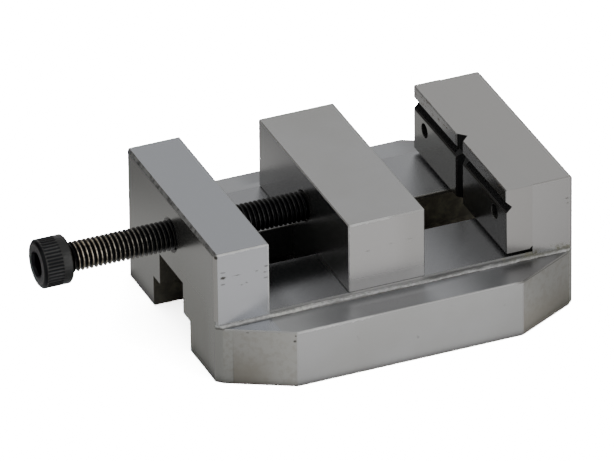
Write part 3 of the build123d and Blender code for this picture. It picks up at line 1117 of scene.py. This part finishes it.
class ScrewTree:
    """The Geometry Nodes tree that cuts the knurl into a blank and winds the thread onto it."""

    # Row by row over one pitch: share of the pitch, and share of the thread's height
    PROFILE = ((0.0, 0.0), (0.125, 0.08), (0.4375, 1.0), (0.5625, 1.0), (0.875, 0.08))
    WELD = 0.002 * MM
    INPUTS = {
        "NodeSocketGeometry": ("Blank",),
        "NodeSocketFloat": ("Start", "End", "Pitch", "Root Radius", "Thread Height", "Run Out",
                            "Knurl Start", "Knurl End", "Knurl Depth", "Knurl Radius"),
        "NodeSocketInt": ("Sides", "Teeth"),
        "NodeSocketMaterial": ("Finish",),
    }

    def __init__(self) -> None:
        """Builds the tree once, for every screw."""
        self.tree = bpy.data.node_groups.new("threaded_and_knurled", "GeometryNodeTree")
        for kind, labels in self.INPUTS.items():
            for label in labels:
                self.tree.interface.new_socket(label, in_out="INPUT", socket_type=kind)
        self.tree.interface.new_socket("Screw", in_out="OUTPUT", socket_type="NodeSocketGeometry")
        self.graph = Graph(self.tree)
        self.given = self.graph.add("NodeGroupInput").outputs
        self.graph.add("NodeGroupOutput", {"Screw": self._joined(self._knurled(), self._thread())})

    def _knurled(self) -> Socket:
        """Presses straight knurl teeth into the head.

        Returns:
            The blank's geometry with its knurl.
        """
        graph, given = self.graph, self.given
        place = graph.add("GeometryNodeInputPosition").outputs[0]
        at = graph.parts(place)
        turn = graph.math("DIVIDE", graph.math("ARCTAN2", at["Z"], at["Y"]), math.tau)
        wave = graph.math("PINGPONG", graph.product(turn, given["Teeth"]), 0.5)
        valley = graph.math("SUBTRACT", 1.0, graph.product(wave, 2.0))
        flat = graph.stretched(place, (0.0, 1.0, 1.0))
        radius = graph.vector("LENGTH", flat).outputs[1]
        inward = graph.vector("SCALE", graph.vector("NORMALIZE", flat).outputs[0])
        graph.feed(inward.inputs["Scale"], graph.product(
            given["Knurl Depth"], valley,
            graph.math("GREATER_THAN", at["X"], given["Knurl Start"]),
            graph.math("LESS_THAN", at["X"], given["Knurl End"]),
            graph.math("GREATER_THAN", radius, given["Knurl Radius"]),
            -1.0,
        ))
        fed = {"Geometry": given["Blank"], "Offset": inward.outputs[0]}
        return graph.add("GeometryNodeSetPosition", fed).outputs[0]

    def _row_value(self, row: object, column: int) -> Socket:
        """Reads the thread's profile.

        Args:
            row: The row within one pitch.
            column: 0 for the share of the pitch, 1 for the share of the height.

        Returns:
            That value for the row.
        """
        switch = self.graph.add("GeometryNodeIndexSwitch", data_type="FLOAT")
        while len(switch.index_switch_items) < len(self.PROFILE):
            switch.index_switch_items.new()
        self.graph.feed(switch.inputs["Index"], row)
        for target, values in zip(switch.inputs[1:], self.PROFILE):
            target.default_value = values[column]
        return switch.outputs[0]

    def _thread(self) -> Socket:
        """Winds a sheet round the core so that its rows follow the helix.

        Returns:
            The thread's geometry, a tube from Start to End.
        """
        graph, given = self.graph, self.given
        rows = float(len(self.PROFILE))
        length = graph.math("SUBTRACT", given["End"], given["Start"])
        turns = graph.math("ADD", graph.math("CEIL", graph.math("DIVIDE", length, given["Pitch"])), 1.0)
        columns = graph.math("ADD", given["Sides"], 1.0)
        sheet = graph.add("GeometryNodeMeshGrid", {
            "Vertices X": graph.math("ADD", graph.product(turns, rows), 1.0), "Vertices Y": columns,
        })
        index = graph.add("GeometryNodeInputIndex").outputs[0]
        line = graph.math("FLOOR", graph.math("DIVIDE", graph.math("ADD", index, 0.5), columns))
        column = graph.math("SUBTRACT", index, graph.product(line, columns))
        turn = graph.math("FLOOR", graph.math("DIVIDE", graph.math("ADD", line, 0.5), rows))
        row = graph.math("SUBTRACT", line, graph.product(turn, rows))
        around = graph.math("DIVIDE", column, given["Sides"])
        behind = graph.math("SUBTRACT", around, 1.0)
        travel = graph.math("ADD", graph.math("ADD", turn, self._row_value(row, 0)), behind)
        x = graph.math("MULTIPLY_ADD", travel, given["Pitch"], given["Start"])
        kept = graph.math("MINIMUM", graph.math("MAXIMUM", x, given["Start"]), given["End"])
        run_in = graph.math("ADD", given["Start"], given["Run Out"])
        run_out = graph.math("SUBTRACT", given["End"], given["Run Out"])
        fade = graph.math(
            "MINIMUM",
            graph.ramp(x, given["Start"], run_in, kind="LINEAR"),
            graph.ramp(x, given["End"], run_out, kind="LINEAR"),
        )
        height = graph.product(self._row_value(row, 1), fade, given["Thread Height"])
        radius = graph.math("ADD", given["Root Radius"], height)
        angle = graph.product(around, math.tau)
        place = graph.add("ShaderNodeCombineXYZ", {
            "X": kept,
            "Y": graph.product(radius, graph.math("COSINE", angle)),
            "Z": graph.product(radius, graph.math("SINE", angle)),
        })
        fed = {"Geometry": sheet.outputs["Mesh"], "Position": place.outputs[0]}
        return graph.add("GeometryNodeSetPosition", fed).outputs[0]

    def _joined(self, blank: Socket, thread: Socket) -> Socket:
        """Joins the blank and the thread into one closed skin.

        Args:
            blank: The knurled blank.
            thread: The thread's tube.

        Returns:
            The finished geometry.
        """
        graph = self.graph
        join = graph.add("GeometryNodeJoinGeometry", {0: blank})
        graph.feed(join.inputs[0], thread)
        weld = graph.add("GeometryNodeMergeByDistance", {"Geometry": join.outputs[0], "Distance": self.WELD})
        real = graph.add("GeometryNodeRealizeInstances", {0: weld.outputs[0]})
        fed = {"Geometry": real.outputs[0], "Material": self.given["Finish"]}
        return graph.add("GeometryNodeSetMaterial", fed).outputs[0]

    def run(self, blank: bpy.types.Mesh, values: dict[str, object]) -> bpy.types.Mesh:
        """Makes one screw's plain mesh.

        Args:
            blank: The turned blank.
            values: The tree's inputs by name.

        Returns:
            The evaluated mesh.
        """
        work = placed("screw_work", blank)
        modifier = work.modifiers.new("screw", "NODES")
        modifier.node_group = self.tree
        for item in self.tree.interface.items_tree:
            if item.item_type == "SOCKET" and item.name in values:
                modifier[item.identifier] = values[item.name]
        return applied(work)


def skin(chains: Sequence[Sequence[Sequence[Point]]], name: str) -> bpy.types.Mesh:
    """Joins each chain of rings into a skin.

    Args:
        chains: Rings of points, of equal counts but for a ring of one point, which closes that end.
        name: The mesh's name.

    Returns:
        The mesh.
    """
    points, faces = [], []
    for rings in chains:
        starts = np.cumsum([len(points)] + [len(ring) for ring in rings])
        for k, (this, following) in enumerate(zip(rings, rings[1:])):
            a, b = starts[k], starts[k + 1]
            sides = max(len(this), len(following))
            for j in range(sides):
                n = (j + 1) % sides
                if len(this) == 1:
                    faces.append((a, b + n, b + j))
                elif len(following) == 1:
                    faces.append((a + j, a + n, b))
                else:
                    faces.append((a + j, a + n, b + n, b + j))
        points += [point for ring in rings for point in ring]
    mesh = bpy.data.meshes.new(name)
    mesh.from_pydata(points, [], faces)
    return mesh


@dataclass
class CapScrew(Dressed):
    """A socket head screw with a knurled head and a real thread, along X from its head's underside.

    The lead, the drill and the mouth are shares of the hexagon, the knurl's margin and the back's bevel are
    shares of the head's rounding, and the crease is in degrees.
    """

    name: str
    place: Matrix
    length: float = 12.0 * MM
    size: float = 4.0 * MM
    pitch: float = 0.7 * MM
    head_diameter: float = 7.0 * MM
    head_height: float = 4.0 * MM
    head_round: float = 0.5 * MM
    hex_size: float = 3.0 * MM
    hex_depth: float = 2.0 * MM
    hex_lead: float = 0.12
    drill_share: float = 0.42
    mouth_share: float = 1.06
    knurl_front: float = 0.7 * MM
    knurl_length: float = 2.6 * MM
    knurl_depth: float = 0.12 * MM
    knurl_margin: float = 0.25
    back_bevel: float = 0.35
    arc_rings: int = 7
    teeth: int = 42
    sides: int = 168
    crease: float = 28.0
    tail: tuple[Ring, ...] = ()

    def thread_height(self) -> float:
        """The thread's height from root to crest."""
        return THREAD_DEPTH * self.pitch

    def root_radius(self) -> float:
        """The radius at the thread's root."""
        return self.size / 2 - self.thread_height()

    def head_rings(self) -> list[Ring]:
        """Lays out the socket and the head.

        Returns:
            The rings from the socket's bottom over the front to the head's underside.
        """
        front = -self.head_height
        radius = self.head_diameter / 2
        corner = self.hex_size / 2 / math.cos(math.pi / 6)
        floor = front + self.hex_depth
        mouth = self.mouth_share * corner
        lead = self.hex_lead * self.hex_size
        rings = [
            Ring(floor + lead, 0.0),
            Ring(floor, self.drill_share * self.hex_size),
            Ring(floor, self.hex_size / 2, Form.HEXAGON),
            Ring(front + lead, self.hex_size / 2, Form.HEXAGON),
            Ring(front, mouth),
            Ring(front, (mouth + radius - self.head_round) / 2),
        ]
        for angle in np.linspace(0.0, math.pi / 2, self.arc_rings):
            rings.append(Ring(
                front + self.head_round * (1 - math.cos(angle)),
                radius - self.head_round * (1 - math.sin(angle)),
            ))
        start = front + self.knurl_front
        end = start + self.knurl_length
        margin = self.knurl_margin * self.head_round
        knurl = np.linspace(start, end, self.arc_rings)
        rings += [Ring(float(x), radius) for x in (start - margin, *knurl, end + margin)]
        bevel = self.back_bevel * self.head_round
        rings += [
            Ring(-bevel, radius),
            Ring(0.0, radius - bevel),
            Ring(0.0, self.size / 2),
            Ring(0.0, self.root_radius()),
        ]
        return rings

    def tail_rings(self) -> tuple[Ring, ...]:
        """The rings from the thread's end to the tip, a plain flat end where no tail is given."""
        return self.tail or (Ring(self.length, self.root_radius()), Ring(self.length, 0.0))

    def thread_end(self) -> float:
        """Where the thread ends along the screw."""
        return self.tail_rings()[0].x

    def points(self, ring: Ring) -> list[Point]:
        """Places one ring's points.

        Args:
            ring: The ring.

        Returns:
            Its points round the X axis, or one point on the axis.
        """
        if ring.radius == 0.0:
            return [(ring.x, 0.0, 0.0)]
        made = []
        for j in range(self.sides):
            angle = math.tau * j / self.sides
            radius = ring.radius
            if ring.form is Form.HEXAGON:
                off = (angle + math.pi / 6) % (math.pi / 3) - math.pi / 6
                radius = ring.radius / math.cos(off)
            made.append((ring.x, radius * math.cos(angle), radius * math.sin(angle)))
        return made

    def blank(self) -> bpy.types.Mesh:
        """Turns the head and the tail, which the thread joins.

        Returns:
            The blank's mesh.
        """
        chains = (self.head_rings(), self.tail_rings())
        return skin([[self.points(ring) for ring in chain] for chain in chains], self.name)

    def build(self, tree: ScrewTree, finish: bpy.types.Material) -> bpy.types.Object:
        """Makes the screw, puts it in place and gives it its finish.

        Args:
            tree: The tree that cuts knurl and thread.
            finish: The screw's material.

        Returns:
            The finished piece.
        """
        front = -self.head_height + self.knurl_front
        mesh = tree.run(self.blank(), {
            "Start": 0.0,
            "End": self.thread_end(),
            "Pitch": self.pitch,
            "Root Radius": self.root_radius(),
            "Thread Height": self.thread_height(),
            "Run Out": self.pitch,
            "Sides": self.sides,
            "Teeth": self.teeth,
            "Knurl Start": front - SLACK,
            "Knurl End": front + self.knurl_length + SLACK,
            "Knurl Depth": self.knurl_depth,
            "Knurl Radius": self.head_diameter / 2 - SLACK,
            "Finish": finish,
        })
        mesh.transform(self.place)
        mesh.shade_smooth()
        mesh.set_sharp_from_angle(angle=math.radians(self.crease))
        return self.dressed(self.name, mesh)


@dataclass
class Hardware:
    """The spindle and the four small screws."""

    thread_size: float = 8.0 * MM
    thread_pitch: float = 1.25 * MM
    head_height: float = 8.0 * MM
    neck_width: float = 2.3 * MM
    neck_from_tip: float = 5.0 * MM
    journal_length: float = 10.0 * MM
    journal_radius: float = 3.25 * MM
    neck_radius: float = 2.25 * MM
    tip_bevel: float = 0.3 * MM

    def spindle(self) -> CapScrew:
        """Lays out the spindle from its CAD node's box.

        Returns:
            The screw, with its turned end as the tail.
        """
        low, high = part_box("spindle")
        middle = (low + high) / 2
        underside = low.x + self.head_height
        length = high.x - underside
        shoulder = length - self.journal_length
        neck_end = length - self.neck_from_tip + self.neck_width / 2
        neck_start = neck_end - self.neck_width
        root = self.thread_size / 2 - THREAD_DEPTH * self.thread_pitch
        tail = (
            Ring(shoulder, root),
            Ring(shoulder, self.journal_radius),
            Ring(neck_start, self.journal_radius),
            Ring(neck_start, self.neck_radius),
            Ring(neck_end, self.neck_radius),
            Ring(neck_end, self.journal_radius),
            Ring(length - self.tip_bevel, self.journal_radius),
            Ring(length, self.journal_radius - self.tip_bevel),
            Ring(length, 0.0),
        )
        return CapScrew(
            name="spindle_screw", node="spindle", body=Body.SPINDLE, slot=Slot.SPINDLE,
            place=Matrix.Translation((underside, middle.y, middle.z)),
            length=length, size=self.thread_size, pitch=self.thread_pitch,
            head_diameter=13.0 * MM, head_height=self.head_height, head_round=1.2 * MM,
            hex_size=6.0 * MM, hex_depth=4.6 * MM,
            knurl_front=1.0 * MM, knurl_length=4.1 * MM, knurl_depth=0.24 * MM,
            tail=tail,
        )

    def small_screws(self) -> list[CapScrew]:
        """Lays out the plate's and the keeper's screws from their CAD nodes' boxes.

        Returns:
            The four screws.
        """
        made = []
        for node in ("plate_screw_rear", "plate_screw_front"):
            low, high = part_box(node)
            seat = Vector((high.x - CapScrew.head_height, (low.y + high.y) / 2, (low.z + high.z) / 2))
            place = Matrix.Translation(seat) @ Matrix.Rotation(math.pi, 4, "Z")
            made.append(CapScrew(node, Body.BASE, Slot.SCREW, f"{node}_turned", place))
        for node in ("keeper_screw_back", "keeper_screw_nose"):
            low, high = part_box(node)
            seat = Vector(((low.x + high.x) / 2, (low.y + high.y) / 2, low.z + CapScrew.head_height))
            place = Matrix.Translation(seat) @ Matrix.Rotation(-math.pi / 2, 4, "Y")
            made.append(CapScrew(node, Body.JAW, Slot.SCREW, f"{node}_turned", place))
        return made

    def build(self) -> None:
        """Makes the spindle and the small screws."""
        tree = ScrewTree()
        spindle = self.spindle()
        axis = spindle.place.translation
        radius = spindle.head_diameter / 2
        oxide = BlackOxide(
            "black_oxide_spindle", axis.y, axis.z, axis.x, radius,
            head_share=0.09, worn_from=3.6 * MM, worn_to=3.88 * MM, worn_length=34.0 * MM,
            highlight_radius=radius - spindle.head_round, head_front=axis.x - spindle.head_height, roughness=0.34,
        )
        spindle.build(tree, oxide.material())
        for screw in self.small_screws():
            at = screw.place.translation
            finish = BlackOxide(f"black_oxide_{screw.node}", at.y, at.z, at.x, screw.head_diameter / 2)
            screw.build(tree, finish.material())


@dataclass
class GroundPiece(Dressed):
    """A ground piece with every edge broken as a stone leaves it.

    Ease is the widest bevel, of which every edge has its share. An edge is broken where its faces turn by
    more than an angle in degrees: sharp_from where it stands out, fillet_to where it lies in a corner.
    """

    finish: GroundSteel
    weld: float = 0.001 * MM
    flat_within: float = 1.0
    steps: int = 3
    ease: float = 0.7 * MM
    share: float = 0.14
    sharp_from: float = 25.0
    fillet_to: float = 60.0
    seam: float = 57.0 * MM
    seam_share: float = 0.005
    rounded: float = -31.5 * MM
    tall: float = 5.0 * MM
    outer: float = 20.0 * MM

    def break_share(self, first: Vector, second: Vector) -> float:
        """Tells how much of the full width an edge is broken by.

        Args:
            first: One end of the edge.
            second: Its other end.

        Returns:
            The share. Where the plate meets its block, the two were ground together and stay all but sharp,
            and the body's end corners are rounded most.
        """
        if all(abs(end.x - self.seam) < SLACK for end in (first, second)):
            return self.seam_share
        upright = abs(first.z - second.z) > self.tall and (first - second).xy.length < SLACK
        at_corner = abs(first.x - self.rounded) < SLACK and abs(first.y) > self.outer
        return 1.0 if upright and at_corner else self.share

    def copied(self) -> bpy.types.Mesh:
        """Copies the CAD node's skin, joins its loose triangles and marks the edges to break.

        Returns:
            The joined mesh.
        """
        work = bmesh.new()
        work.from_mesh(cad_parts[self.node].data)
        bmesh.ops.remove_doubles(work, verts=work.verts, dist=self.weld)
        flat = math.radians(self.flat_within)
        bmesh.ops.dissolve_limit(work, angle_limit=flat, verts=work.verts, edges=work.edges)
        weight = work.edges.layers.float.new("bevel_weight_edge")
        for edge in work.edges:
            limit = self.sharp_from if edge.is_convex else self.fillet_to
            if edge.calc_face_angle(0.0) > math.radians(limit):
                edge[weight] = self.break_share(*(vertex.co for vertex in edge.verts))
        mesh = bpy.data.meshes.new(f"{self.node}_joined")
        work.to_mesh(mesh)
        work.free()
        mesh.shade_smooth()
        return mesh

    def build(self) -> bpy.types.Object:
        """Makes the piece.

        Returns:
            The finished piece.
        """
        name = f"{self.node}_ground"
        work = placed(f"{name}_work", self.copied())
        bevel = work.modifiers.new("ease", "BEVEL")
        bevel.width, bevel.segments, bevel.limit_method = self.ease, self.steps, "WEIGHT"
        work.modifiers.new("flats", "WEIGHTED_NORMAL").weight = 100
        mesh = applied(work)
        mesh.materials.clear()
        mesh.materials.append(self.finish.material())
        return self.dressed(name, mesh)


@dataclass
class GroundWork:
    """The four ground pieces with broken edges, and the pins that show as their CAD nodes are."""

    pieces: tuple[GroundPiece, ...] = (
        GroundPiece("vise_body", Body.BASE, Slot.BODY, BodySteel("ground_body_steel")),
        GroundPiece("moving_jaw", Body.JAW, Slot.JAW, JawSteel("ground_jaw_steel")),
        GroundPiece("jaw_plate", Body.BASE, Slot.PLATE, PlateSteel("hardened_plate_steel")),
        GroundPiece("keeper_plate", Body.JAW, Slot.KEEPER,
                    GroundSteel("milled_keeper_steel", roughness=0.36)),
    )
    pin: PolishedPin = PolishedPin("bright_pin_steel")

    def build(self) -> None:
        """Makes the ground pieces and dresses the pins."""
        for piece in self.pieces:
            piece.build()
        bright = self.pin.material()
        for node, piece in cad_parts.items():
            if "dowel" in node or "pin_" in node:
                piece.data.materials.clear()
                piece.data.materials.append(bright)
                LOG.info("%s: dressed in %s", node, bright.name)


@dataclass(frozen=True)
class Panel:
    """A soft patch of studio light: where it stands, how wide it is in degrees, and how bright."""

    azimuth: float
    elevation: float
    inner: float
    outer: float
    level: float

    def direction(self) -> Vector:
        """The unit vector towards the panel's middle."""
        turn, lift = math.radians(self.azimuth), math.radians(self.elevation)
        return Vector((math.cos(turn) * math.cos(lift), math.sin(turn) * math.cos(lift), math.sin(lift)))

    def mask(self, graph: Graph, towards: Socket) -> Socket:
        """Fades from 1 within the inner angle to 0 past the outer one.

        Args:
            graph: The graph to add to.
            towards: The direction that is looked along.

        Returns:
            The mask.
        """
        near = graph.vector("DOT_PRODUCT", towards, tuple(self.direction())).outputs[1]
        return graph.ramp(near, math.cos(math.radians(self.outer)), math.cos(math.radians(self.inner)))


@dataclass
class Studio:
    """The floor, the soft light and the camera.

    The footprint is the vise's middle, half length, half width and half width at its ends. Near, contact and
    under are distances from its outline over which the floor's glow is dimmed, a painted shadow.
    """

    azimuth: float = -22.516
    elevation: float = 30.505
    roll: float = -0.679
    distance: float = 2732.0 * MM
    focus_pixels: float = 10558.0
    picture_width: float = 614.0
    target: Point = (7.514 * MM, 2.362 * MM, 18.761 * MM)
    sensor: float = 36.0
    clip: tuple[float, float] = (0.1, 50.0)
    floor_size: float = 12.0
    white: float = 36.0
    ambient: float = 0.37
    panels: tuple[Panel, ...] = (
        Panel(82.0, 27.0, 27.0, 57.0, 0.42),
        Panel(304.0, 20.0, 28.0, 41.0, 1.1),
        Panel(200.0, 25.0, 20.0, 45.0, 0.33),
        Panel(270.0, 82.0, 10.0, 30.0, 0.5),
    )
    shade: Panel = Panel(126.0, 4.0, 20.0, 30.0, 1.0)
    floor_front: Panel = Panel(271.5, 0.0, 18.0, 62.0, 0.625)
    floor_shade: Panel = Panel(128.0, 0.0, 8.0, 30.0, 0.24)
    floor_rear: float = 0.465
    footprint: tuple[float, float, float, float] = (18.5 * MM, 50.0 * MM, 40.0 * MM, 30.0 * MM)
    cut_corner: float = 18.5 * MM
    far: tuple[float, float] = (75.0 * MM, 110.0 * MM)
    near: float = 30.0 * MM
    near_level: float = 0.85
    contact: float = 3.5 * MM
    contact_level: float = 0.3
    under: tuple[float, float] = (-6.0 * MM, -1.0 * MM)
    under_level: float = 0.01

    def camera(self) -> None:
        """Sets the camera at the photograph's place and angle."""
        turn, lift = math.radians(self.azimuth), math.radians(self.elevation)
        back = Vector((math.sin(turn) * math.cos(lift), -math.cos(turn) * math.cos(lift), math.sin(lift)))
        data = bpy.data.cameras.new("camera")
        data.sensor_width = self.sensor
        data.lens = self.focus_pixels / self.picture_width * self.sensor
        data.clip_start, data.clip_end = self.clip
        camera = placed("camera", data)
        camera.rotation_mode = "QUATERNION"
        camera.location = Vector(self.target) + back * self.distance
        aim = (-back).to_track_quat("-Z", "Y")
        camera.rotation_quaternion = aim @ Quaternion((0, 0, 1), math.radians(self.roll))
        bpy.context.scene.camera = camera

    def bounce(self, graph: Graph) -> Socket:
        """Works out how brightly the floor glows for all but camera rays, painted light: most in front, with
        painted shade near the vise and none from under it.

        Args:
            graph: The floor material's graph.

        Returns:
            The level, by place.
        """
        middle, half_length, half_width, half_end = self.footprint
        place = graph.add("ShaderNodeTexCoord").outputs["Object"]
        away = graph.vector("SUBTRACT", place, (middle, 0.0, 0.0)).outputs[0]
        outward = graph.vector("NORMALIZE", away).outputs[0]
        far = graph.ramp(graph.vector("LENGTH", away).outputs[1], *self.far)
        dim = graph.product(self.floor_shade.mask(graph, outward), far)
        rear = graph.between(dim, self.floor_rear, self.floor_rear - self.floor_shade.level)
        front = self.floor_front.mask(graph, outward)
        level = graph.between(front, rear, self.floor_rear + self.floor_front.level)
        mirrored = graph.vector("ABSOLUTE", away).outputs[0]
        slant = Vector((half_width - half_end, self.cut_corner, 0.0)).normalized()
        corner = slant.dot(Vector((half_length, half_end, 0.0)))
        sides = (((1.0, 0.0, 0.0), half_length), ((0.0, 1.0, 0.0), half_width), (tuple(slant), corner))
        clear: object = -half_length
        for normal, reach in sides:
            out = graph.vector("DOT_PRODUCT", mirrored, normal).outputs[1]
            clear = graph.math("MAXIMUM", clear, graph.math("SUBTRACT", out, reach))
        shaded = graph.between(graph.ramp(clear, 0.0, self.near), self.near_level, 1.0)
        close = graph.between(graph.ramp(clear, 0.0, self.contact), self.contact_level, 1.0)
        uncovered = graph.ramp(clear, *self.under)
        return graph.product(level, graph.between(uncovered, self.under_level, graph.product(shaded, close)))

    def floor(self) -> None:
        """Lays the plain pale floor, which the camera sees as a bright sweep and every other ray sees as a
        glow of painted light and shade.
        """
        half = self.floor_size / 2
        corners = [(-half, -half, 0), (half, -half, 0), (half, half, 0), (-half, half, 0)]
        mesh = bpy.data.meshes.new("floor")
        mesh.from_pydata(corners, [], [(0, 1, 2, 3)])
        material = bpy.data.materials.new("pale_floor")
        material.use_nodes = True
        graph = Graph(material.node_tree)
        seen = graph.add("ShaderNodeBsdfDiffuse", {"Color": (self.white, self.white, self.white, 1.0)})
        glow = graph.add("ShaderNodeEmission", {"Strength": self.bounce(graph)})
        path = graph.add("ShaderNodeLightPath").outputs
        fed = {0: path["Is Camera Ray"], 1: glow.outputs[0], 2: seen.outputs[0]}
        mix = graph.add("ShaderNodeMixShader", fed)
        graph.add("ShaderNodeOutputMaterial", {"Surface": mix.outputs[0]})
        mesh.materials.append(material)
        placed("floor", mesh)

    def sky(self) -> None:
        """Surrounds the vise with soft panels of light, and a dark corner low behind it on the left."""
        world = bpy.data.worlds.new("studio")
        bpy.context.scene.world = world
        world.use_nodes = True
        graph = Graph(world.node_tree)
        towards = graph.add("ShaderNodeTexCoord").outputs["Generated"]
        level: object = self.ambient
        for panel in self.panels:
            level = graph.math("ADD", level, graph.product(panel.mask(graph, towards), panel.level))
        level = graph.product(level, graph.math("SUBTRACT", 1.0, self.shade.mask(graph, towards)))
        path = graph.add("ShaderNodeLightPath").outputs
        background = graph.add("ShaderNodeBackground", {
            "Color": (1.0, 1.0, 1.0, 1.0),
            "Strength": graph.between(path["Is Camera Ray"], level, self.white / 2),
        })
        graph.add("ShaderNodeOutputWorld", {"Surface": background.outputs[0]})

    def build(self) -> None:
        """Sets up floor, light and camera."""
        self.floor()
        self.sky()
        self.camera()


def main() -> None:
    """Builds the vise's looks and the studio."""
    logging.basicConfig(level=logging.INFO, format="%(message)s")
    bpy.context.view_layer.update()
    GroundWork().build()
    Hardware().build()
    Studio().build()


if __name__ == "__main__":
    main()
